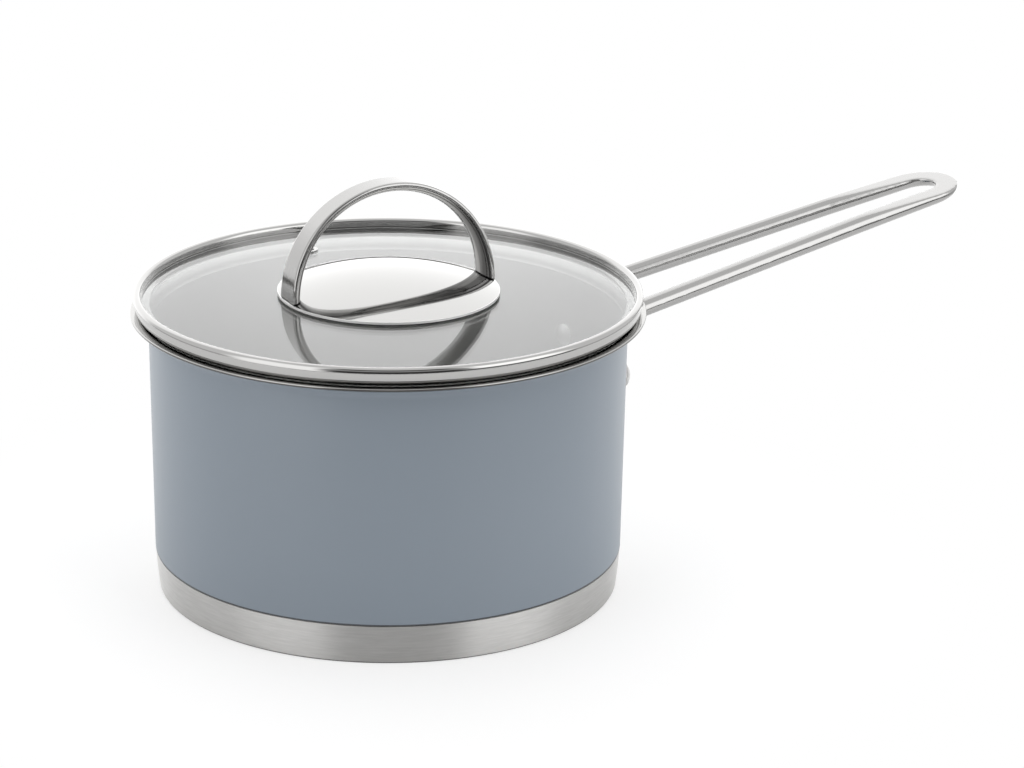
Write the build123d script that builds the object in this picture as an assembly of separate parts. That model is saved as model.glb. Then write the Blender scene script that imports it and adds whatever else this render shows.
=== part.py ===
"""Saucepan with a glass lid.

All sizes are in millimetres. The origin is the centre of the base's underside, +Z points up
and +X points along the long handle.
"""
import os
from math import atan, cos, degrees, radians, sin, sqrt, tan

from build123d import *

# Vessel
body_radius = 81.0  # painted wall, outside, where the flare begins
base_radius = 80.0  # base band, outside; the wall widens from here to the flare
rim_height = 97.4  # top of the pouring rim above the table
wall = 1.0  # steel sheet of the vessel
coat = 0.15  # paint on the wall
shell_corner = 5.0  # outside radius between the floor and the wall
flare_radius = 5.6  # inside radius of the flare
lip_flat = 1.75  # level part of the rim beyond the flare
ridge_rise = 0.3  # rolled ridge inside the wall, under the flare
ridge_width = 1.4

# Sandwich base
band_height = 13.7  # bare steel band below the paint
cap_sheet = 0.8
cap_corner = 4.0
cap_clearance = 0.05
seam = 0.3  # fine groove between the band and the paint
core_thickness = 5.0

# Long handle
rod_diameter = 6.2
handle_tilt = 12.0  # degrees above level
handle_drop = 8.8  # rod centre at the wall, below the rim
handle_reach = 140.5  # wall to the middle of the rod at the tip, along the handle
rod_spacing = 32.8  # between the rod centres at the wall
tip_radius = 10.4  # middle of the rod in the end bend
tip_width = 8.1  # the rod pressed wide in the end bend
press_length = 42.0  # pressed stretch of the handle, measured back from the tip
press_height = 0.7  # flat top at the tip, above the rod centre

# Flattened ends of the handle and their rivets
ankle_radius = 8.0  # rod centre where the rod bends down the wall
leg_rise = 1.0  # rod centre above the wall below the bend, where its back is pressed flat
rivet_angle = 15.0  # degrees each side of the handle
rivet_drop = 28.4  # rivet centre below the rim
tab_radius = 5.0
tab_thickness = 1.6
tab_neck_width = 8.0
tab_neck_rise = 7.0  # neck of the tab above the rivet
rivet_diameter = 5.0
rivet_head_diameter = 7.6
rivet_head_height = 1.8
rivet_head_edge = 0.5  # upright edge of a rivet head below its dome
rivet_clearance = 0.05

# Lid ring
seat_gap = 0.3  # between the ring and the flare
seat_angle = 28.0  # degrees, slope of the ring's underside
ring_inset = 1.0  # ring inside the lip
ring_sheet = 0.65
bead_width = 2.9
bead_rise = 2.8  # top of the bead above the glass edge
bead_skirt = 0.45  # upright part of the bead below its half-round top
bead_overhang = 0.5
ring_flange = 5.3  # flange under the glass, measured in from the ring's wall
foot_round = 1.3  # between the ring's wall and its sloping underside

# Lid glass
glass_thickness = 3.5
glass_rise = 1.5
glass_margin = 0.8  # glass edge inside the ring's wall
glass_clearance = 0.05
vent_inset = 27.1  # steam hole inside the glass edge
vent_angle = 95.3  # degrees from the handle
vent_bore = 4.0
eyelet_sheet = 0.5
eyelet_flange = 7.0

# Knob
plate_radius = 37.6
plate_sheet = 1.0
plate_skirt = 0.8  # upright edge of the plate
plate_rise = 6.8
seal_height = 0.5
seal_width = 2.4
seal_inset = 0.4
arch_inset = 0.5  # arch inside the plate's edge
arch_thickness = 3.6
arch_edge = 1.4  # thickness at the sides; the inner face swells from here
arch_foot_width = 12.0
arch_top_width = 9.0
arch_lift = 0.9  # centre of the arch above the edge of the dome
arch_bevel = 0.8  # rounding of the outer corners
arch_spans = 8  # stretches of the bow between its drawn cross-sections

# Fixing of the knob through the glass
screw_diameter = 4.0
screw_clearance = 0.05
screw_engagement = 2.6
screw_head_diameter = 8.5
screw_head_height = 2.4
screw_head_round = 1.4
boss_diameter = 9.0
bush_sleeve = 1.2
bush_flange = 16.0
washer_thickness = 1.0
cup_thickness = 0.8

# Levels and radii that follow from the sizes above
rod_radius = rod_diameter / 2
mouth_radius = body_radius - coat - wall
flare_start = rim_height - flare_radius
flare_centre = mouth_radius + flare_radius
lip_radius = flare_centre + lip_flat
lip_end = lip_radius - wall / 2  # centre of the rounded edge of the rim
floor_level = cap_sheet + core_thickness
neck_radius = base_radius - cap_sheet - cap_clearance
rivet_height = rim_height - rivet_drop

seat_radius = flare_centre - (flare_radius + seat_gap) * sin(radians(seat_angle))
seat_level = flare_start + (flare_radius + seat_gap) * cos(radians(seat_angle))
ring_outer = lip_radius - ring_inset
ring_wall = ring_outer - bead_overhang
glass_radius = ring_wall - glass_margin
glass_base = seat_level + ring_sheet
glass_shoulder = glass_radius - glass_thickness / 2
vent_distance = glass_radius - vent_inset
glass_edge_top = glass_base + glass_thickness
dome_radius = (glass_shoulder**2 + glass_rise**2) / (2 * glass_rise)
ring_top = glass_edge_top + bead_rise


def glass_top(distance):
    """Level of the upper glass surface at a distance from the middle."""
    return glass_edge_top + glass_rise - dome_radius + sqrt(dome_radius**2 - distance**2)


plate_edge = glass_top(plate_radius - seal_inset - seal_width) + seal_height
plate_dome = plate_edge + plate_skirt
hole_radius = screw_diameter / 2 + screw_clearance + bush_sleeve
washer_level = glass_top(bush_flange / 2) - glass_thickness
arch_radius = plate_radius - arch_inset
arch_centre = plate_dome + arch_lift


def turned(outline):
    """Solid of revolution from an outline drawn as distance and height."""
    return revolve(Plane.XZ * make_face(outline), Axis.Z)


def section_corner(section, level, sheet):
    """Outermost corner of a sheet's cross-section at a level."""
    corners = section.vertices().filter_by_position(Axis.Y, level - sheet / 4, level + sheet / 4)
    return corners.sort_by(Axis.X)[-1]


def arc_over_axis(start, end):
    """Arc from a point on the axis to an outer point, centred on the axis."""
    drop = start[1] - end[1]
    radius = (end[0] ** 2 + drop**2) / (2 * drop)
    middle = end[0] / 2
    return ThreePointArc(start, (middle, start[1] - radius + sqrt(radius**2 - middle**2)), end)


def wall_outside(height):
    """Outside radius of the paint at a height."""
    widening = (body_radius - base_radius) / (flare_start - band_height)
    return base_radius + widening * (height - band_height)


def wall_inside(height):
    """Inside radius of the steel wall at a height."""
    return wall_outside(height) - coat - wall


def body_envelope():
    """Everything inside the painted wall, carried straight past the band and the flare."""
    low = -band_height
    high = 2 * rim_height
    side = ((wall_outside(low), low), (wall_outside(high), high))
    return turned([Polyline((0, low), *side, (0, high), close=True)])


def tab_face():
    """Distance of the handle tabs' outer faces from the pan's axis."""
    return wall_outside(rivet_height) + tab_thickness


def rivet_plane(side):
    """Plane across a rivet: origin on the pan's axis, Z outwards, Y up."""
    angle = radians(side * rivet_angle)
    outwards = (cos(angle), sin(angle), 0)
    return Plane((0, 0, rivet_height), x_dir=(-sin(angle), cos(angle), 0), z_dir=outwards)


def rivet_holes():
    """Radial holes for the two rivets."""
    bore = extrude(Circle(rivet_diameter / 2 + rivet_clearance), lip_radius)
    return [rivet_plane(side) * bore for side in (1, -1)]


def pan_shell():
    """Drawn vessel: floor, necked foot inside the base cap, tapered wall and flared rim."""
    foot = base_radius - coat
    ridge_low = flare_start - ridge_width
    ridge_middle = flare_start - ridge_width / 2
    ridge_crest = (wall_inside(ridge_middle) - ridge_rise, ridge_middle)
    ridge_foot = (wall_inside(ridge_low), ridge_low)
    section = make_face(
        [
            Polyline(
                (0, floor_level),
                (neck_radius, floor_level),
                (neck_radius, band_height),
                (foot, band_height),
                (body_radius - coat, flare_start),
            ),
            CenterArc((flare_centre, flare_start), flare_radius - wall, 180, -90),
            Line((flare_centre, rim_height - wall), (lip_end, rim_height - wall)),
            CenterArc((lip_end, rim_height - wall / 2), wall / 2, -90, 180),
            Line((lip_end, rim_height), (flare_centre, rim_height)),
            CenterArc((flare_centre, flare_start), flare_radius, 90, 90),
            ThreePointArc((mouth_radius, flare_start), ridge_crest, ridge_foot),
            Polyline(
                ridge_foot,
                (foot - wall, band_height + wall),
                (neck_radius - wall, band_height - wall),
                (neck_radius - wall, floor_level + wall),
                (0, floor_level + wall),
                (0, floor_level),
            ),
        ]
    )
    for level, corner in ((floor_level, shell_corner), (floor_level + wall, shell_corner - wall)):
        section = fillet(section_corner(section, level, wall), corner)
    return revolve(Plane.XZ * section, Axis.Z) - rivet_holes()


def paint_coat():
    """Painted skin of the wall, from the groove above the base band to the underside of the rim."""
    under = rim_height - wall
    steel_round = flare_radius - wall
    skin = turned(
        [
            Polyline(
                (body_radius - coat, flare_start),
                (base_radius - coat, band_height),
                (base_radius, band_height),
                (body_radius, flare_start),
            ),
            CenterArc((flare_centre, flare_start), steel_round - coat, 180, -90),
            Polyline(
                (flare_centre, under - coat), (lip_end, under - coat), (lip_end, under), (flare_centre, under)
            ),
            CenterArc((flare_centre, flare_start), steel_round, 90, 90),
        ]
    )
    return skin - rivet_holes()


def base_cap():
    """Steel cup pressed over the core and the foot of the shell."""
    section = make_face(
        Polyline(
            (0, 0),
            (base_radius, 0),
            (base_radius, band_height - seam),
            (base_radius - cap_sheet, band_height - seam),
            (base_radius - cap_sheet, cap_sheet),
            (0, cap_sheet),
            close=True,
        )
    )
    for level, corner in ((0, cap_corner), (cap_sheet, cap_corner - cap_sheet)):
        section = fillet(section_corner(section, level, cap_sheet), corner)
    return revolve(Plane.XZ * section, Axis.Z)


def heat_spreader():
    """Aluminium disc between the cap and the shell's floor."""
    radius = neck_radius - max(shell_corner, cap_corner)
    return Pos(Z=cap_sheet) * extrude(Circle(radius), core_thickness)


def handle_plane():
    """Plane of the handle: origin at the wall, X along the handle, Y across it."""
    tilt = radians(handle_tilt)
    origin = (body_radius, 0, rim_height - handle_drop)
    return Plane(origin, x_dir=(cos(tilt), 0, sin(tilt)), z_dir=(-sin(tilt), 0, cos(tilt)))


def handle_taper():
    """Angle by which each rod leans inwards towards the tip, in radians."""
    run = handle_reach - tip_radius
    lean = 0.0
    for _ in range(20):
        lean = atan((rod_spacing / 2 - tip_radius / cos(lean)) / run)
    return lean


def rod_offset(along):
    """Half the rod spacing at a distance along the handle."""
    lean = handle_taper()
    return tip_radius / cos(lean) + (handle_reach - tip_radius - along) * tan(lean)


def rod_plane(along):
    """Plane across the +Y rod at a distance along the handle, in the handle's plane."""
    lean = handle_taper()
    forward = (cos(lean), -sin(lean), 0)
    return Plane((along, rod_offset(along), 0), x_dir=(sin(lean), cos(lean), 0), z_dir=forward)


def ankle_start():
    """Distance along the handle at which the rod begins to bend down the wall."""
    turn = radians(90 - handle_tilt)
    tilt = radians(handle_tilt)
    advance = ankle_radius * (cos(tilt) * sin(turn) - sin(tilt) * (1 - cos(turn)))
    leg_distance = wall_outside(rim_height) + leg_rise
    leg = sqrt(leg_distance**2 - (rod_spacing / 2) ** 2)
    return (leg + advance - body_radius) / cos(tilt)


def ankle_axis():
    """Axis about which the +Y rod bends down the wall, in the handle's plane."""
    lean = handle_taper()
    pivot = rod_plane(ankle_start()).origin - Vector(0, 0, ankle_radius)
    return Axis(pivot, (sin(lean), cos(lean), 0))


def handle_rod():
    """The +Y rod and half of the end bend, in the handle's plane."""
    lean = handle_taper()
    start = ankle_start()
    press_start = handle_reach - press_length
    bend_start = handle_reach - tip_radius + tip_radius * sin(lean)
    round_end = rod_plane(press_start)
    wide_end = rod_plane(bend_start)
    straight = extrude(rod_plane(start) * Circle(rod_radius), (press_start - start) / cos(lean))
    wide_section = wide_end * Ellipse(tip_width / 2, rod_radius)
    pressed = loft([round_end * Circle(rod_radius), wide_section])
    bend_axis = Axis((handle_reach - tip_radius, 0, 0), (0, 0, -1))
    bend = revolve(wide_section, bend_axis, 90 - degrees(lean))
    ankle = revolve(rod_plane(start) * Circle(rod_radius), ankle_axis(), handle_tilt - 90)
    return straight + pressed + bend + ankle


def press_cut():
    """Wedge above the flat top that the pressed end has."""
    low = handle_reach - press_length
    high = handle_reach + tip_width
    slope = (rod_radius - press_height) / press_length
    profile = Polyline(
        (low, rod_radius),
        (high, rod_radius - slope * (high - low)),
        (high, 2 * rod_diameter),
        (low, 2 * rod_diameter),
        close=True,
    )
    return extrude(Plane.XZ * make_face(profile), rod_spacing, both=True)


def handle_foot():
    """Flattened end of the +Y rod: a neck drawn from the round rod into a riveted tab."""
    rod_section = rod_plane(ankle_start()) * Circle(rod_radius)
    rod_end = handle_plane() * rod_section.rotate(ankle_axis(), handle_tilt - 90)
    across = rivet_plane(1)
    top = across.to_local_coords(rod_end.center())
    neck_offset = top.X * tab_neck_rise / top.Y
    neck_centre = across.from_local_coords((neck_offset, tab_neck_rise, tab_face() - tab_thickness))
    neck_plane = Plane(neck_centre, x_dir=across.x_dir, z_dir=(0, 0, -1))
    neck = loft([rod_end, neck_plane * Ellipse(tab_neck_width / 2, tab_thickness)])
    outline = Pos(neck_offset, tab_neck_rise) * Circle(tab_neck_width / 2) + Circle(tab_radius)
    tab = extrude(across * make_hull(outline.edges()), tab_face())
    return neck + tab


def handle_loop(envelope):
    """Bent rod handle with a pressed end bend and two flattened feet on the wall."""
    rod = handle_rod()
    loop = handle_plane() * (rod + mirror(rod, Plane.XZ) - press_cut())
    foot = handle_foot()
    return loop + foot + mirror(foot, Plane.XZ) - envelope - rivet_holes()


def handle_rivets(shell):
    """Two rivets with domed heads outside and inside the wall."""
    inside = wall_inside(rivet_height)
    half = rivet_head_diameter / 2
    crown = (0, rivet_head_height)
    edge = (half, rivet_head_edge)
    dome = arc_over_axis(crown, edge)
    outer_head = turned([dome, Polyline(edge, (half, 0), (0, 0), crown)])
    inner_head = turned([dome, Polyline(edge, (half, -wall / 2), (0, -wall / 2), crown)])
    shank = extrude(Circle(rivet_diameter / 2), tab_face() - inside)
    rivet = Pos(Z=inside) * (shank + mirror(inner_head, Plane.XY)) + Pos(Z=tab_face()) * outer_head
    return [rivet_plane(side) * rivet - shell for side in (1, -1)]


def glass_section(clearance):
    """Cross-section of the domed glass with its rounded edge, grown by a clearance."""
    radius = glass_thickness / 2 + clearance
    middle = glass_base + glass_thickness / 2
    crown = glass_edge_top + glass_rise
    top = arc_over_axis((0, crown + clearance), (glass_shoulder, middle + radius))
    under = arc_over_axis((0, crown - glass_thickness - clearance), (glass_shoulder, middle - radius))
    edge = CenterArc((glass_shoulder, middle), radius, -90, 180)
    axis = Line((0, crown - glass_thickness - clearance), (0, crown + clearance))
    return make_face([top, under, edge, axis])


def vent_place():
    """Where the steam hole stands on the lid."""
    angle = radians(vent_angle)
    return Pos(vent_distance * cos(angle), vent_distance * sin(angle), 0)


def lid_glass():
    """Shallow glass dome with a centre hole and a steam hole."""
    dome = revolve(Plane.XZ * glass_section(0), Axis.Z)
    sleeve_hole = vent_bore / 2 + eyelet_sheet + glass_clearance
    bores = extrude(Circle(hole_radius + glass_clearance), 2 * ring_top)
    bores += vent_place() * extrude(Circle(sleeve_hole), 2 * ring_top)
    return dome - bores


def lid_ring():
    """Rolled ring: rounded bead above, a wall below it and a flange under the glass."""
    slope = tan(radians(seat_angle))
    wall_foot = seat_level + (ring_wall - seat_radius) * slope
    flange_inner = ring_wall - ring_flange
    bead_round = bead_width / 2
    bead_inner = ring_outer - bead_width
    bead_level = ring_top - bead_round
    crease = bead_level - bead_skirt
    section = make_face(
        [
            Polyline(
                (bead_inner, bead_level),
                (bead_inner, glass_edge_top),
                (flange_inner, glass_edge_top),
                (flange_inner, seat_level),
                (seat_radius, seat_level),
                (ring_wall, wall_foot),
                (ring_wall, crease - bead_overhang / 2),
                (ring_outer, crease),
                (ring_outer, bead_level),
            ),
            CenterArc((ring_outer - bead_round, bead_level), bead_round, 0, 180),
        ]
    )
    section = fillet(section_corner(section, wall_foot, ring_sheet), foot_round)
    section -= glass_section(glass_clearance)
    return revolve(Plane.XZ * section, Axis.Z).solids().sort_by(SortBy.VOLUME)[-1]


def vent_eyelet():
    """Steel eyelet rolled over both sides of the glass."""
    bore = vent_bore / 2
    sleeve = bore + eyelet_sheet
    flange = eyelet_flange / 2
    top = glass_top(vent_distance - flange) + glass_clearance
    bottom = glass_top(vent_distance + flange) - glass_thickness - glass_clearance
    outline = [
        CenterArc((sleeve, bottom), eyelet_sheet, 180, 90),
        Polyline(
            (sleeve, bottom - eyelet_sheet),
            (flange, bottom - eyelet_sheet),
            (flange, bottom),
            (sleeve, bottom),
            (sleeve, top),
            (flange, top),
            (flange, top + eyelet_sheet),
            (sleeve, top + eyelet_sheet),
        ),
        CenterArc((sleeve, top), eyelet_sheet, 90, 90),
        Line((bore, top), (bore, bottom)),
    ]
    return vent_place() * turned(outline)


def plate_section(inset):
    """Cross-section of the domed plate's filling, drawn in from its outside by an inset."""
    rim = plate_radius - inset
    crown = plate_dome + plate_rise - inset
    shoulder = plate_dome - inset
    return [
        arc_over_axis((0, crown), (rim, shoulder)),
        Polyline((rim, shoulder), (rim, plate_edge), (0, plate_edge), (0, crown)),
    ]


def knob_plate():
    """Domed steel disc with a short upright edge."""
    return turned(plate_section(0)) - turned(plate_section(plate_sheet))


def knob_seal():
    """Silicone ring between the edge of the plate and the glass."""
    outer = plate_radius - seal_inset
    inner = outer - seal_width
    low = glass_top(inner)
    outline = Polyline((inner, low), (outer, low), (outer, plate_edge), (inner, plate_edge), close=True)
    return turned([outline])


def arch_section(angle):
    """Cross-section of the arch at an angle round it: flat outside, half an oval inside."""
    rise = sin(radians(angle))
    half = (arch_foot_width + (arch_top_width - arch_foot_width) * rise) / 2
    flat = half - arch_bevel
    bevel_start = arch_radius - arch_bevel
    side = arch_radius - arch_edge
    outline = make_face(
        [
            EllipticalCenterArc((side, 0), arch_thickness - arch_edge, half, 90, arc_size=180),
            Line((side, -half), (bevel_start, -half)),
            CenterArc((bevel_start, -flat), arch_bevel, -90, 90),
            Line((arch_radius, -flat), (arch_radius, flat)),
            CenterArc((bevel_start, flat), arch_bevel, 0, 90),
            Line((bevel_start, half), (side, half)),
        ]
    )
    outwards = (cos(radians(angle)), 0, rise)
    along = (-rise, 0, cos(radians(angle)))
    return Plane((0, 0, arch_centre), x_dir=outwards, z_dir=along) * outline


def knob_arch():
    """Half-round strap grip, narrower at the top, that stands on the plate's dome."""
    below = degrees(atan((arch_centre - plate_edge) / (arch_radius - arch_thickness)))
    step = (180 + 2 * below) / arch_spans
    strap = loft([arch_section(index * step - below) for index in range(arch_spans + 1)])
    above_edge = Pos(Z=plate_edge) * extrude(Circle(2 * arch_radius), 2 * arch_radius)
    return strap & above_edge - turned(plate_section(0))


def knob_boss():
    """Threaded boss under the middle of the plate."""
    low = glass_top(0) + washer_thickness
    high = plate_dome + plate_rise - plate_sheet
    bore_radius = screw_diameter / 2 + screw_clearance
    bore = Pos(Z=low) * extrude(Circle(bore_radius), screw_engagement + screw_clearance)
    post = Pos(Z=low) * extrude(Circle(boss_diameter / 2), high - low)
    return (post & turned(plate_section(plate_sheet))) - bore


def hole_bush():
    """Silicone bush in the centre hole with a flange on the glass."""
    top = glass_top(0)
    sleeve = Pos(Z=top - glass_thickness) * extrude(Circle(hole_radius), glass_thickness)
    flange = Pos(Z=top) * extrude(Circle(bush_flange / 2), washer_thickness)
    bore = extrude(Circle(screw_diameter / 2 + screw_clearance), 2 * ring_top)
    return sleeve + flange - bore


def washer(level, thickness):
    """Flat washer of the bush's diameter with its upper face at a level."""
    disc = Pos(Z=level - thickness) * extrude(Circle(bush_flange / 2), thickness)
    return disc - extrude(Circle(screw_diameter / 2 + screw_clearance), 2 * ring_top)


def knob_screw():
    """Pan-head screw that clamps the knob to the glass from below."""
    seat = washer_level - washer_thickness - cup_thickness
    tip = glass_top(0) + washer_thickness + screw_engagement
    shank = Pos(Z=seat) * extrude(Circle(screw_diameter / 2), tip - seat)
    head = Pos(Z=seat - screw_head_height) * extrude(Circle(screw_head_diameter / 2), screw_head_height)
    rim = head.edges().group_by(Axis.Z)[0]
    return shank + fillet(rim, screw_head_round)


def build():
    """All the pieces by name."""
    shell = pan_shell()
    return {
        "pan_shell": shell,
        "paint_coat": paint_coat(),
        "base_cap": base_cap(),
        "heat_spreader": heat_spreader(),
        "handle_loop": handle_loop(body_envelope()),
        "handle_rivets": Compound(handle_rivets(shell)),
        "lid_glass": lid_glass(),
        "lid_ring": lid_ring(),
        "vent_eyelet": vent_eyelet(),
        "knob_plate": knob_plate(),
        "knob_seal": knob_seal(),
        "knob_arch": knob_arch(),
        "knob_boss": knob_boss(),
        "hole_bush": hole_bush(),
        "lower_washer": washer(washer_level, washer_thickness),
        "cup_washer": washer(washer_level - washer_thickness, cup_thickness),
        "knob_screw": knob_screw(),
    }


os.makedirs("parts", exist_ok=True)
for name, piece in build().items():
    export_step(piece, f"parts/{name}.step")
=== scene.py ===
"""Saucepan with a glass lid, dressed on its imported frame. Lengths are in metres, angles in degrees."""
import math

import bmesh
import bpy
from mathutils import Matrix, Vector


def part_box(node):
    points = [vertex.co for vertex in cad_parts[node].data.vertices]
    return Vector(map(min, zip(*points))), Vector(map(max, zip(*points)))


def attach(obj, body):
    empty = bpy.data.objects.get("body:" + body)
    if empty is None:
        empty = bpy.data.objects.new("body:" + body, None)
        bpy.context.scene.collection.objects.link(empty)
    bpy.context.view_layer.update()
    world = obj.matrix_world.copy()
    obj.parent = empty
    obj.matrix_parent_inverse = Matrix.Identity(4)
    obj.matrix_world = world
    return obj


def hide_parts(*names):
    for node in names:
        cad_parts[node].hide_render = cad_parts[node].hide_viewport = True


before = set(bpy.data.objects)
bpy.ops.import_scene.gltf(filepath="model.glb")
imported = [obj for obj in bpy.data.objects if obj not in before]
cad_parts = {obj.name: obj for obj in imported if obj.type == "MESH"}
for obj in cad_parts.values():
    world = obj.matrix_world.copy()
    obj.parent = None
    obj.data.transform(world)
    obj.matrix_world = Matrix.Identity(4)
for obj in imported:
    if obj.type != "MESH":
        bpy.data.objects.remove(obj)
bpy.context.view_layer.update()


# Pan shell: one deep-drawn sheet of stainless steel, floor, wall and flared pouring rim in one piece.
# It was turned against an abrasive belt, so fine scratches run round the pan's axis. The lip is
# polished, and painted shade darkens the underside of its outer edge.
merge_distance = 0.000001
crease_angle = 25.0


def new_piece(name, mesh):
    """A mesh object made from a bmesh, which is freed."""
    data = bpy.data.meshes.new(name)
    mesh.to_mesh(data)
    mesh.free()
    piece = bpy.data.objects.new(name, data)
    bpy.context.scene.collection.objects.link(piece)
    return piece


def arc(centre, radius, start, stop, steps):
    """Points on an arc of a profile, from one angle to another."""
    angles = [math.radians(start + (stop - start) * step / steps) for step in range(steps + 1)]
    return [(centre[0] + radius * math.cos(angle), centre[1] + radius * math.sin(angle)) for angle in angles]


def turned(name, outline, steps):
    """A mesh object from a profile of distances and heights, spun round the Z axis. The profile is
    closed, or begins and ends on the axis."""
    mesh = bmesh.new()
    corners = [mesh.verts.new((distance, 0.0, level)) for distance, level in outline]
    pairs = list(zip(corners, corners[1:]))
    if outline[0][0] > 0:
        pairs.append((corners[-1], corners[0]))
    edges = [mesh.edges.new(pair) for pair in pairs]
    bmesh.ops.spin(
        mesh, geom=corners + edges, axis=(0, 0, 1), cent=(0, 0, 0),
        angle=math.tau, steps=steps, use_merge=True,
    )
    bmesh.ops.remove_doubles(mesh, verts=mesh.verts, dist=merge_distance)
    bmesh.ops.recalc_face_normals(mesh, faces=mesh.faces)
    for face in mesh.faces:
        face.smooth = True
    for edge in mesh.edges:
        edge.smooth = edge.calc_face_angle(math.pi) < math.radians(crease_angle)
    return new_piece(name, mesh)


shell_low, shell_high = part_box("pan_shell")
rim = shell_high.z
lip_radius = shell_high.x
floor_level = shell_low.z
foot_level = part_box("paint_coat")[0].z
band_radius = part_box("base_cap")[1].x
wall_sheet = 0.001
flare_round = 0.0056
lip_flat = 0.00175
floor_round = 0.005
ridge_width = 0.0014
ridge_rise = 0.0003
neck_clearance = 0.00085
paint_thickness = 0.00015
foot_radius = band_radius - paint_thickness
neck_radius = band_radius - neck_clearance
floor_centre = (neck_radius - floor_round, floor_level + floor_round)
flare_centre = (lip_radius - lip_flat, rim - flare_round)
lip_middle = (lip_radius - wall_sheet / 2, rim - wall_sheet / 2)
mouth = flare_centre[0] - flare_round
shell_outline = [
    (0.0, floor_level),
    *arc(floor_centre, floor_round, -90, 0, steps=8),
    (neck_radius, foot_level),
    (foot_radius, foot_level),
    *arc(flare_centre, flare_round - wall_sheet, 180, 90, steps=12),
    *arc(lip_middle, wall_sheet / 2, -90, 90, steps=8),
    *arc(flare_centre, flare_round, 90, 180, steps=16),
    (mouth - ridge_rise, flare_centre[1] - ridge_width / 2),
    (mouth, flare_centre[1] - ridge_width),
    (foot_radius - wall_sheet, foot_level + wall_sheet),
    (neck_radius - wall_sheet, foot_level - wall_sheet),
    *arc(floor_centre, floor_round - wall_sheet, 0, -90, steps=8),
    (0.0, floor_level + wall_sheet),
]
vessel = turned("vessel", shell_outline, steps=256)


def new_node(tree, kind, inputs, **settings):
    """A shader node with its settings. Each input gets a value, or a link from a socket."""
    node = tree.nodes.new(kind)
    for label, setting in settings.items():
        setattr(node, label, setting)
    for label, given in inputs.items():
        if isinstance(given, bpy.types.NodeSocket):
            tree.links.new(given, node.inputs[label])
        else:
            node.inputs[label].default_value = given
    return node


def number_math(tree, operation, *operands):
    """The result of a Math node on sockets or numbers."""
    return new_node(tree, "ShaderNodeMath", dict(enumerate(operands)), operation=operation).outputs["Value"]


def vector_math(tree, operation, *operands):
    """The outputs of a Vector Math node, of which one is called Vector and the other Value."""
    return new_node(tree, "ShaderNodeVectorMath", dict(enumerate(operands)), operation=operation).outputs


def spread(tree, value, low, high):
    """A value from 0 to 1 stretched between two limits."""
    inputs = {"Value": value, "To Min": low, "To Max": high}
    return new_node(tree, "ShaderNodeMapRange", inputs).outputs["Result"]


def soft_step(tree, value, start, full):
    """0 where a value is at the start, 1 where it is at the full mark, and smooth between. Either of
    the two may be the larger."""
    inputs = {"Value": value, "From Min": start, "From Max": full}
    return new_node(tree, "ShaderNodeMapRange", inputs, interpolation_type="SMOOTHSTEP").outputs["Result"]


def on_object(tree):
    """The place of a point on its piece."""
    return tree.nodes.new("ShaderNodeTexCoord").outputs["Object"]


def noise(tree, place, scale, detail, roughness=0.5):
    """Cloudy noise from 0 to 1."""
    inputs = {"Vector": place, "Scale": scale, "Detail": detail, "Roughness": roughness}
    return new_node(tree, "ShaderNodeTexNoise", inputs).outputs["Fac"]


def opaque(tone):
    """A colour with its alpha; a socket or a number stays as it is."""
    return (*tone, 1.0) if isinstance(tone, tuple) else tone


def two_tones(tree, value, first, second):
    """A colour between two tones."""
    inputs = {"Factor": value, "A": opaque(first), "B": opaque(second)}
    return new_node(tree, "ShaderNodeMix", inputs, data_type="RGBA").outputs["Result"]


def new_group(name, inputs, output):
    """An empty shader node group with one output: its tree, the sockets of its inputs by name, and the
    socket that takes its result."""
    tree = bpy.data.node_groups.new(name, "ShaderNodeTree")
    for label, value in inputs.items():
        kind = "NodeSocketVector" if isinstance(value, tuple) else "NodeSocketFloat"
        tree.interface.new_socket(label, in_out="INPUT", socket_type=kind).default_value = value
    tree.interface.new_socket(output, in_out="OUTPUT", socket_type="NodeSocketFloat")
    given = tree.nodes.new("NodeGroupInput").outputs
    result = tree.nodes.new("NodeGroupOutput").inputs[output]
    return tree, given, result


def use_group(tree, group, inputs):
    """The output of a node group that is placed in a material with its own values."""
    return new_node(tree, "ShaderNodeGroup", inputs, node_tree=group).outputs[0]


from_axis = (1.0, 1.0, 0.0)
upwards = (0.0, 0.0, 1.0)


def turned_brushing():
    """Scratches that run in circles round the Z axis: Around is how often they change along a
    circle, Across how many there are to a metre. Streak goes from 0 to 1."""
    tree, given, result = new_group("turned_brushing", {"Around": 6.0, "Across": 2500.0}, "Streak")
    place = on_object(tree)
    flat = vector_math(tree, "MULTIPLY", place, from_axis)["Vector"]
    radius = vector_math(tree, "LENGTH", flat)["Value"]
    direction = vector_math(tree, "NORMALIZE", flat)["Vector"]
    heading = new_node(tree, "ShaderNodeSeparateXYZ", {"Vector": direction}).outputs
    level = vector_math(tree, "DOT_PRODUCT", place, upwards)["Value"]
    along_profile = number_math(tree, "ADD", radius, level)
    unrolled = {
        "X": number_math(tree, "MULTIPLY", heading["X"], given["Around"]),
        "Y": number_math(tree, "MULTIPLY", heading["Y"], given["Around"]),
        "Z": number_math(tree, "MULTIPLY", along_profile, given["Across"]),
    }
    strip = new_node(tree, "ShaderNodeCombineXYZ", unrolled).outputs["Vector"]
    tree.links.new(noise(tree, strip, scale=1.0, detail=3.0, roughness=0.65), result)
    return tree


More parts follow.
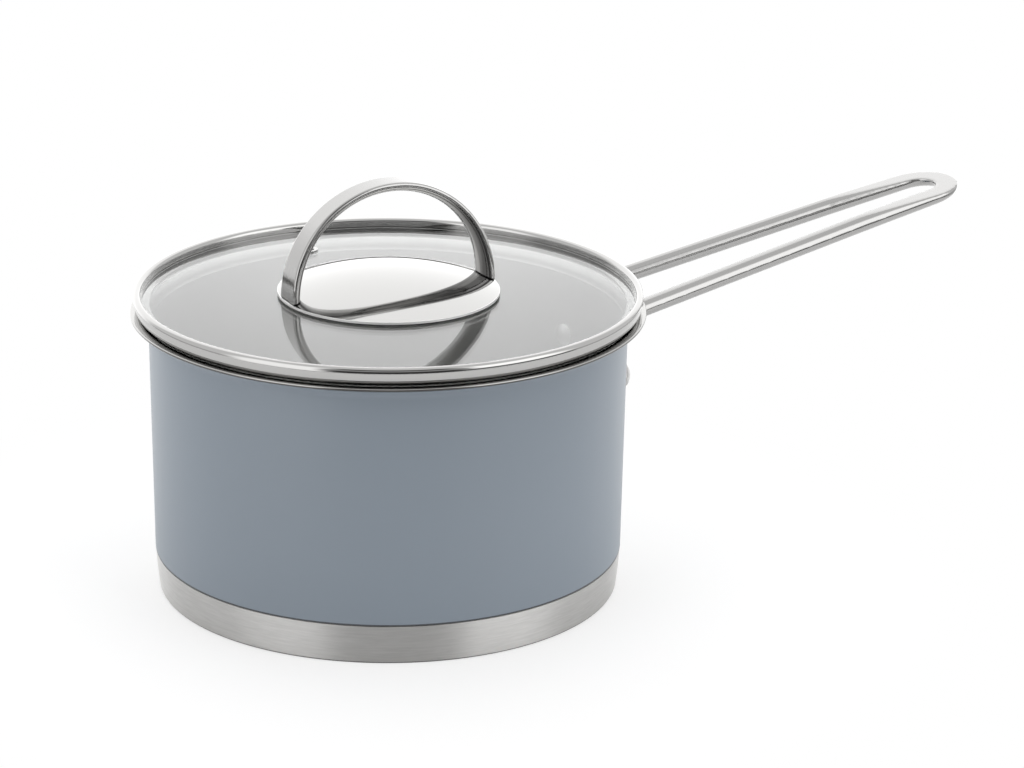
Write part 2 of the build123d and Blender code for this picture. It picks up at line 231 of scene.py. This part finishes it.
def zone_mask():
    """A mask by distance from Centre, counted along those axes that are 1 in Axes: 0 at Start and 1
    at Full."""
    inputs = {"Centre": (0.0, 0.0, 0.0), "Axes": (1.0, 1.0, 1.0), "Start": 0.0, "Full": 1.0}
    tree, given, result = new_group("zone_mask", inputs, "Mask")
    offset = vector_math(tree, "SUBTRACT", on_object(tree), given["Centre"])["Vector"]
    counted = vector_math(tree, "MULTIPLY", offset, given["Axes"])["Vector"]
    distance = vector_math(tree, "LENGTH", counted)["Value"]
    tree.links.new(soft_step(tree, distance, given["Start"], given["Full"]), result)
    return tree


def new_finish(name, sockets):
    """A material whose shader has these sockets set."""
    finish = bpy.data.materials.new(name)
    finish.use_nodes = True
    for label, value in sockets.items():
        finish.node_tree.nodes["Principled BSDF"].inputs[label].default_value = opaque(value)
    return finish


def wire(finish, label, socket):
    """Links a socket to an input of a finish's shader."""
    finish.node_tree.links.new(socket, finish.node_tree.nodes["Principled BSDF"].inputs[label])


def relief(finish, height, depth):
    """Bump of a depth on a finish."""
    inputs = {"Strength": 1.0, "Distance": depth, "Height": height}
    wire(finish, "Normal", new_node(finish.node_tree, "ShaderNodeBump", inputs).outputs["Normal"])


def zone(finish, axes, start, full, centre=(0.0, 0.0, 0.0)):
    """The mask of a zone of the piece that has this finish."""
    inputs = {"Centre": centre, "Axes": axes, "Start": start, "Full": full}
    return use_group(finish.node_tree, zones, inputs)


def lay_over(finish, label, mask, top):
    """Covers an input of a finish's shader with another colour or value where a mask is 1."""
    socket = finish.node_tree.nodes["Principled BSDF"].inputs[label]
    under = socket.links[0].from_socket if socket.is_linked else socket.default_value
    kind = "RGBA" if label == "Base Color" else "FLOAT"
    inputs = {"Factor": mask, "A": under, "B": opaque(top)}
    wire(finish, label, new_node(finish.node_tree, "ShaderNodeMix", inputs, data_type=kind).outputs["Result"])


def brushed_round(name, dark, light, smooth, rough, stretch, around, across, depth):
    """Metal brushed in circles round the pan's axis, its gloss stretched across the scratches."""
    quarter_turn = 0.25
    sockets = {"Metallic": 1.0, "Anisotropic": stretch, "Anisotropic Rotation": quarter_turn}
    finish = new_finish(name, sockets)
    tree = finish.node_tree
    streak = use_group(tree, brushing, {"Around": around, "Across": across})
    along = new_node(tree, "ShaderNodeTangent", {}, direction_type="RADIAL", axis="Z")
    wire(finish, "Base Color", two_tones(tree, streak, dark, light))
    wire(finish, "Roughness", spread(tree, streak, smooth, rough))
    wire(finish, "Tangent", along.outputs["Tangent"])
    relief(finish, streak, depth)
    return finish


brushing = turned_brushing()
zones = zone_mask()
lip_width = 0.0075
lip_fade = 0.003
lip_tone = (0.36, 0.357, 0.35)
lip_roughness = 0.1
edge_width = 0.0008
edge_fade = 0.0005
edge_depth = 0.0002
depth_fade = 0.0003
lip_edge_shade_tone = (0.09, 0.089, 0.087)
lip_start = lip_radius - lip_width
edge_start = lip_radius - edge_width
underside_start = rim - edge_depth
vessel_steel = brushed_round(
    "vessel_steel", dark=(0.52, 0.517, 0.511), light=(0.62, 0.617, 0.61), smooth=0.32, rough=0.48,
    stretch=0.4, around=4.0, across=1400.0, depth=0.000004,
)
on_lip = zone(vessel_steel, from_axis, lip_start, lip_start + lip_fade)
at_edge = zone(vessel_steel, from_axis, edge_start, edge_start + edge_fade)
underneath = zone(vessel_steel, upwards, underside_start, underside_start - depth_fade)
lip_edge_shade = number_math(vessel_steel.node_tree, "MULTIPLY", at_edge, underneath)
lay_over(vessel_steel, "Base Color", on_lip, lip_tone)
# Painted shade: the underside of the lip's outer edge is darkened, for the shade beneath it.
lay_over(vessel_steel, "Base Color", lip_edge_shade, lip_edge_shade_tone)
lay_over(vessel_steel, "Roughness", on_lip, lip_roughness)
vessel.data.materials.append(vessel_steel)
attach(vessel, "pan")
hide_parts("pan_shell")


# Paint: a satin grey-blue stove enamel sprayed on the outside wall, thin enough to show no thickness.
# Its skin has a very fine orange-peel texture. It is cut off straight above the base band, and a dark
# line of painted shade runs along its edge, for the shade of the groove there.
def dress(node_name, finish):
    """Gives a node of the frame its finish."""
    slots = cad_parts[node_name].data.materials
    slots.clear()
    slots.append(finish)


paint_tone = (0.164, 0.196, 0.232)
paint_unevenness = 0.03
paint_smooth = 0.32
paint_rough = 0.4
peel_depth = 0.000003
cut_shade_tone = (0.03, 0.034, 0.04)
cut_shade_height = 0.0006
thin_coat = tuple((1 - paint_unevenness) * part for part in paint_tone)
thick_coat = tuple((1 + paint_unevenness) * part for part in paint_tone)
wall_paint = new_finish("wall_paint", {"Specular IOR Level": 0.7})
paint_tree = wall_paint.node_tree
peel = noise(paint_tree, on_object(paint_tree), scale=900.0, detail=2.0)
cloud = noise(paint_tree, on_object(paint_tree), scale=18.0, detail=3.0)
wire(wall_paint, "Base Color", two_tones(paint_tree, cloud, thin_coat, thick_coat))
wire(wall_paint, "Roughness", spread(paint_tree, cloud, paint_smooth, paint_rough))
relief(wall_paint, peel, peel_depth)
# Painted shade: a dark line along the paint's lower edge, where the groove above the base band lies in shade.
on_cut_shade = zone(wall_paint, upwards, foot_level + cut_shade_height, foot_level + cut_shade_height / 2)
lay_over(wall_paint, "Base Color", on_cut_shade, cut_shade_tone)
dress("paint_coat", wall_paint)


# Sandwich base: a cup of brushed stainless steel pressed over an aluminium disc and the shell's foot.
# Its wall leans in towards a crisp lower edge, darkened with painted shade where it stands on the
# floor, and a fine groove parts it from the paint.
# The disc between cup and shell spreads the heat.
base_low, base_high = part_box("base_cap")
band_inset = 0.0001
band_round = 0.123
band_lean = 2.0
cup_sheet = 0.0004
cup_floor = 0.0008
cup_corner = 0.0008
band_centre = (
    base_high.x - band_inset - band_round * math.cos(math.radians(band_lean)),
    base_high.z + band_round * math.sin(math.radians(band_lean)),
)
corner_reach = band_round - cup_corner
corner_level = base_low.z + cup_corner
foot_lean = math.degrees(math.asin((band_centre[1] - corner_level) / corner_reach))
corner_centre = (band_centre[0] + corner_reach * math.cos(math.radians(foot_lean)), corner_level)
cup_outline = [
    (0.0, base_low.z),
    *arc(corner_centre, cup_corner, -90, -foot_lean, steps=6),
    *arc(band_centre, band_round, -foot_lean, -band_lean, steps=8)[1:],
    *arc(band_centre, band_round - cup_sheet, -band_lean, -foot_lean, steps=8),
    (0.0, base_low.z + cup_floor),
]
base_cup = turned("base_cup", cup_outline, steps=192)
dark_height = 0.0007
dark_fade = 0.0004
lower_edge_shade_tone = (0.1, 0.1, 0.098)
dark_top = base_low.z + dark_height
base_steel = brushed_round(
    "base_steel", dark=(0.4, 0.396, 0.388), light=(0.62, 0.614, 0.603), smooth=0.4, rough=0.52,
    stretch=0.96, around=8.0, across=1300.0, depth=0.000003,
)
# Painted shade: the cup's lowest edge is darkened where it stands on the floor.
on_shaded_lower_edge = zone(base_steel, upwards, dark_top, dark_top - dark_fade)
lay_over(base_steel, "Base Color", on_shaded_lower_edge, lower_edge_shade_tone)
base_cup.data.materials.append(base_steel)
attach(base_cup, "pan")
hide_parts("base_cap")

core_metal = brushed_round(
    "core_metal", dark=(0.6, 0.6, 0.61), light=(0.72, 0.72, 0.74), smooth=0.35, rough=0.5,
    stretch=0.2, around=3.0, across=1200.0, depth=0.000004,
)
dress("heat_spreader", core_metal)


# Long handle: one rod of stainless steel bent into a loop, its end bend pressed flat on top and its two
# feet pressed flat and riveted to the wall. Pressing leaves soft edges, and the rod is polished along
# its length.
def softened(name, node_name, cell, passes):
    """A copy of a node of the frame, evened out into cells of a size and smoothed, so that its
    pressed edges run softly into each other."""
    mesh = bmesh.new()
    mesh.from_mesh(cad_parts[node_name].data)
    bmesh.ops.remove_doubles(mesh, verts=mesh.verts, dist=merge_distance)
    piece = new_piece(name, mesh)
    even = piece.modifiers.new("even", "REMESH")
    even.mode = "VOXEL"
    even.voxel_size = cell
    even.use_smooth_shade = True
    soften = piece.modifiers.new("soften", "SMOOTH")
    soften.factor = 0.5
    soften.iterations = passes
    return piece


def polish_smears():
    """Faint smears and scratches of polishing: Grain is how many there are to a metre along X, Y
    and Z. Smear goes from 0 to 1."""
    tree, given, result = new_group("polish_smears", {"Grain": (40.0, 40.0, 40.0)}, "Smear")
    place = vector_math(tree, "MULTIPLY", on_object(tree), given["Grain"])["Vector"]
    tree.links.new(noise(tree, place, scale=1.0, detail=4.0), result)
    return tree


def polished(name, tone, smooth, rough, grain, depth):
    """Polished steel of one tone, with the smears of polishing."""
    finish = new_finish(name, {"Metallic": 1.0, "Base Color": tone})
    smear = use_group(finish.node_tree, smears, {"Grain": grain})
    wire(finish, "Roughness", spread(finish.node_tree, smear, smooth, rough))
    relief(finish, smear, depth)
    return finish


handle = softened("handle", "handle_loop", cell=0.0004, passes=16)
smears = polish_smears()
rod_steel = polished(
    "rod_steel", (0.355, 0.352, 0.347), smooth=0.1, rough=0.18, grain=(40.0, 900.0, 900.0), depth=0.0000006
)
handle.data.materials.append(rod_steel)
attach(handle, "pan")
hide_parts("handle_loop")

rivet_steel = polished(
    "rivet_steel", (0.62, 0.617, 0.61), smooth=0.35, rough=0.5, grain=(900.0, 900.0, 900.0), depth=0.000001
)
dress("handle_rivets", rivet_steel)


# Lid glass: a shallow dome of clear tempered soda-lime glass with a rounded edge.
# Faint smears from wiping are all that dulls it, and it lets most of the light through.
def swap_shader(finish, mask, other):
    """Has a finish show another shader in place of its own where a mask is 1."""
    tree = finish.node_tree
    own = tree.nodes["Principled BSDF"].outputs["BSDF"]
    swapped = new_node(tree, "ShaderNodeMixShader", {"Fac": mask, 1: own, 2: other})
    tree.links.new(swapped.outputs["Shader"], tree.nodes["Material Output"].inputs["Surface"])


glass_tone = (0.98, 0.99, 0.985)
glass_index = 1.52
wiped_roughness = 0.012
shadow_tone = (0.82, 0.83, 0.825)
lid_clear = new_finish(
    "lid_clear", {"Base Color": glass_tone, "Transmission Weight": 1.0, "IOR": glass_index}
)
glass_tree = lid_clear.node_tree
wipe = noise(glass_tree, on_object(glass_tree), scale=35.0, detail=5.0)
wire(lid_clear, "Roughness", spread(glass_tree, wipe, 0.0, wiped_roughness))
see_through = new_node(glass_tree, "ShaderNodeBsdfTransparent", {"Color": opaque(shadow_tone)})
light_rays = glass_tree.nodes.new("ShaderNodeLightPath")
swap_shader(lid_clear, light_rays.outputs["Is Shadow Ray"], see_through.outputs["BSDF"])
dress("lid_glass", lid_clear)


# Lid ring: a strip of stainless steel rolled round the edge of the glass, with a round bead above it,
# an upright wall and a flange beneath. It is polished to a mirror.
ring_low, ring_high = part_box("lid_ring")
glass_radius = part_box("lid_glass")[1].x
ring_outer = ring_high.x
bead_round = 0.00145
bead_skirt = 0.00045
overhang = 0.0005
foot_round = 0.0034
foot_slope = 28.0
seat_inset = 0.00302
flange_width = 0.0053
ring_sheet = 0.0006
edge_round = 0.0018
glass_clearance = 0.00005
bead_level = ring_high.z - bead_round
bead_inner = ring_outer - 2 * bead_round
crease = bead_level - bead_skirt
ring_wall = ring_outer - overhang
flange_inner = ring_wall - flange_width
flange_top = ring_low.z + ring_sheet
edge_middle = (glass_radius - edge_round + glass_clearance, flange_top + edge_round)
foot_rise = foot_round * math.tan(math.radians(45 - foot_slope / 2))
foot_middle = ring_low.z + seat_inset * math.tan(math.radians(foot_slope)) + foot_rise
ring_outline = [
    *arc((ring_outer - bead_round, bead_level), bead_round, 180, 0, steps=16),
    (ring_outer, crease),
    (ring_wall, crease - overhang / 2),
    *arc((ring_wall - foot_round, foot_middle), foot_round, 0, foot_slope - 90, steps=6),
    (ring_wall - seat_inset, ring_low.z),
    (flange_inner, ring_low.z),
    (flange_inner, flange_top),
    *arc(edge_middle, edge_round, -90, 90, steps=8),
    (bead_inner, edge_middle[1] + edge_round),
]
ring = turned("ring", ring_outline, steps=256)
mirror_steel = polished(
    "mirror_steel", (0.4, 0.397, 0.391), smooth=0.03, rough=0.08, grain=(40.0, 40.0, 40.0), depth=0.0000003
)
ring.data.materials.append(mirror_steel)
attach(ring, "lid")
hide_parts("lid_ring")


# Vent eyelet and knob plate: pressed from stainless sheet and polished like the ring. The plate covers
# the lid's middle, and the eyelet lines the steam hole. The plate's cut edge, its skirt, is left matt.
plate_low, plate_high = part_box("knob_plate")
plate_skirt = 0.0008
skirt_top = plate_low.z + plate_skirt
skirt_fade = 0.0001
skirt_tone = (0.8, 0.797, 0.79)
skirt_roughness = 0.6
plate_steel = mirror_steel.copy()
plate_steel.name = "plate_steel"
on_skirt = zone(plate_steel, upwards, skirt_top + skirt_fade, skirt_top)
lay_over(plate_steel, "Base Color", on_skirt, skirt_tone)
lay_over(plate_steel, "Roughness", on_skirt, skirt_roughness)
dress("knob_plate", plate_steel)
dress("vent_eyelet", mirror_steel)


# Knob arch: half-round stainless strap bent into a bow and welded to the plate. Its outside is polished.
# The flanks of its hollow side carry a painted highlight under the top and painted shade down the legs,
# and a dark line of painted shade runs round each foot where it meets the plate.
arch_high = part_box("knob_arch")[1]
arch_lift = 0.0009
bow_centre = (0.0, 0.0, skirt_top + arch_lift)
outside_depth = 0.0014
hollow_fade = 0.0003
middle_width = 0.0008
flank_fade = 0.0008
top_height = 0.002
leg_fade = 0.016
foot_shade_height = 0.0005
foot_shade_fade = 0.0002
hollow_highlight_tone = (0.62, 0.617, 0.61)
hollow_shade_tone = (0.19, 0.189, 0.187)
foot_shade_tone = (0.02, 0.02, 0.02)
hollow_start = arch_high.x - outside_depth
leg_start = arch_high.z - top_height
dome_rise = plate_high.z - skirt_top
dome_radius = (plate_high.x**2 + dome_rise**2) / (2 * dome_rise)
dome_centre = (0.0, 0.0, plate_high.z - dome_radius)
foot_shade_start = dome_radius + foot_shade_height
arch = softened("arch", "knob_arch", cell=0.00025, passes=6)
satin_arch = polished(
    "satin_arch", (0.335, 0.332, 0.327), smooth=0.08, rough=0.16, grain=(40.0, 2500.0, 40.0), depth=0.0000003
)
arch_tree = satin_arch.node_tree
inner_side = zone(satin_arch, (1.0, 0.0, 1.0), hollow_start, hollow_start - hollow_fade, bow_centre)
off_middle = zone(satin_arch, (0.0, 1.0, 0.0), middle_width, middle_width + flank_fade)
on_leg = zone(satin_arch, upwards, leg_start, leg_start - leg_fade)
at_foot_shade = zone(satin_arch, (1.0, 1.0, 1.0), foot_shade_start, foot_shade_start - foot_shade_fade, dome_centre)
# Painted light: the hollow flanks get a painted highlight under the top and painted shade down the legs.
painted_flank_light = number_math(arch_tree, "MULTIPLY", inner_side, off_middle)
flank_light_tone = two_tones(arch_tree, on_leg, hollow_highlight_tone, hollow_shade_tone)
lay_over(satin_arch, "Base Color", painted_flank_light, flank_light_tone)
# Painted shade: a near-black line round each foot, where it meets the plate.
lay_over(satin_arch, "Base Color", at_foot_shade, foot_shade_tone)
arch.data.materials.append(satin_arch)
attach(arch, "lid")
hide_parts("knob_arch")


# Knob fixing: a silicone seal, bush and washer keep steel off the glass, and a boss, a steel washer
# and a screw under the lid clamp the knob to it.
silicone_smooth = 0.5
silicone_rough = 0.75
pore_depth = 0.00001
silicone = new_finish("silicone", {"Base Color": (0.015, 0.015, 0.016)})
silicone_tree = silicone.node_tree
pores = noise(silicone_tree, on_object(silicone_tree), scale=1400.0, detail=2.0)
wire(silicone, "Roughness", spread(silicone_tree, pores, silicone_smooth, silicone_rough))
relief(silicone, pores, pore_depth)
for part in ("knob_seal", "hole_bush", "lower_washer"):
    dress(part, silicone)
for part in ("knob_boss", "cup_washer", "knob_screw"):
    dress(part, vessel_steel)


# Floor: a round white table top. Seen straight on it fades into the white background, and it keeps
# a faint shadow where the pan stands; polished steel sees it end a little way in front of the pan.
def seen_directly(tree):
    """1 for what the camera sees by itself or through glass, 0 for what is reflected or lit."""
    rays = tree.nodes.new("ShaderNodeLightPath").outputs
    return number_math(tree, "MAXIMUM", rays["Is Camera Ray"], rays["Is Transmission Ray"])


table_radius = 0.42
shadow_radius = 0.07
clear_radius = 0.2
shadow_glow = 0.55
floor_mesh = bmesh.new()
bmesh.ops.create_circle(floor_mesh, cap_ends=True, segments=96, radius=table_radius)
floor = new_piece("floor", floor_mesh)
floor_white = new_finish("floor_white", {"Base Color": (0.92, 0.92, 0.92), "Roughness": 0.9})
floor_tree = floor_white.node_tree
from_pan = vector_math(floor_tree, "LENGTH", on_object(floor_tree))["Value"]
out_of_shadow = soft_step(floor_tree, from_pan, shadow_radius, clear_radius)
fade = spread(floor_tree, out_of_shadow, shadow_glow, 1.0)
faded = number_math(floor_tree, "MULTIPLY", fade, seen_directly(floor_tree))
glow = floor_tree.nodes.new("ShaderNodeEmission")
swap_shader(floor_white, faded, glow.outputs["Emission"])
floor.data.materials.append(floor_white)


# Studio: a white tent with panels of light round the pan and a dark room with a grey screen behind the
# camera, which polished steel and glass reflect. Seen directly, or through the lid, it is plain white.
camera_place = Vector((-0.4854, -1.0902, 0.47485))
front = Vector((camera_place.x, camera_place.y, 0.0)).normalized()
right = Vector((-front.y, front.x, 0.0))
world = bpy.data.worlds.new("studio")
bpy.context.scene.world = world
world.use_nodes = True
studio = world.node_tree
ray = studio.nodes.new("ShaderNodeTexCoord").outputs["Generated"]
to_right = vector_math(studio, "DOT_PRODUCT", ray, right)["Value"]
to_front = vector_math(studio, "DOT_PRODUCT", ray, front)["Value"]
to_top = vector_math(studio, "DOT_PRODUCT", ray, upwards)["Value"]
ray_turn = number_math(studio, "ARCTAN2", to_right, to_front)
ray_lift = number_math(studio, "ARCSINE", to_top)


def within(offset, half_size, soft):
    """1 where an offset from a panel's middle is inside half its size, 0 outside, with a soft border."""
    size = number_math(studio, "ABSOLUTE", offset)
    return soft_step(studio, size, math.radians(half_size + soft), math.radians(half_size - soft))


def panel(level, turn, lift, half_width, half_height, soft, brightness):
    """Lays a panel over the light level. Seen from the pan, its middle is turned from the camera to
    the camera's right, and lifted from the horizon."""
    sideways = number_math(studio, "SUBTRACT", ray_turn, math.radians(turn))
    beside = number_math(studio, "WRAP", sideways, math.pi, -math.pi)
    above = number_math(studio, "SUBTRACT", ray_lift, math.radians(lift))
    columns = within(beside, half_width, soft)
    rows = within(above, half_height, soft)
    inputs = {"Factor": number_math(studio, "MULTIPLY", columns, rows), "A": level, "B": brightness}
    return new_node(studio, "ShaderNodeMix", inputs).outputs["Result"]


# The white tent itself.
light = 1.15
# The ground beyond the table.
light = panel(light, turn=0.0, lift=-90.0, half_width=180.0, half_height=84.0, soft=4.0, brightness=0.75)
# A white wall behind the pan.
light = panel(light, turn=188.0, lift=20.0, half_width=42.0, half_height=46.0, soft=9.0, brightness=1.9)
# A plain panel at the camera's left.
light = panel(light, turn=-48.0, lift=12.0, half_width=24.0, half_height=34.0, soft=8.0, brightness=2.05)
# A bright panel at the camera's right, and its foot.
light = panel(light, turn=60.0, lift=18.0, half_width=24.0, half_height=24.0, soft=8.0, brightness=2.5)
light = panel(light, turn=50.0, lift=-14.0, half_width=40.0, half_height=7.0, soft=3.0, brightness=0.25)
# The dark room behind the camera, and the grey screen in it.
light = panel(light, turn=3.0, lift=-15.0, half_width=31.0, half_height=70.0, soft=7.0, brightness=0.07)
light = panel(light, turn=3.0, lift=20.0, half_width=33.0, half_height=13.0, soft=4.0, brightness=0.55)
shown = new_node(studio, "ShaderNodeMix", {"Factor": seen_directly(studio), "A": light, "B": 1.0})
backdrop = studio.nodes["Background"]
backdrop.inputs["Color"].default_value = (1.0, 1.0, 1.0, 1.0)
studio.links.new(shown.outputs["Result"], backdrop.inputs["Strength"])


# Camera: a long lens a little above the lid, looking at the pan from the front left.
camera_turn = 26.0177
camera_pitch = 18.7388
camera_roll = 0.736
lens = bpy.data.cameras.new("camera")
lens.sensor_width = 36.0
lens.lens = 130.05
camera = bpy.data.objects.new("camera", lens)
aim = Matrix.Rotation(math.radians(-camera_turn), 4, "Z")
dip = Matrix.Rotation(math.radians(90 - camera_pitch), 4, "X")
tilt = Matrix.Rotation(math.radians(camera_roll), 4, "Z")
camera.matrix_world = Matrix.Translation(camera_place) @ (aim @ dip @ tilt)
bpy.context.scene.collection.objects.link(camera)
bpy.context.scene.camera = camera
bpy.context.scene.view_settings.view_transform = "Standard"
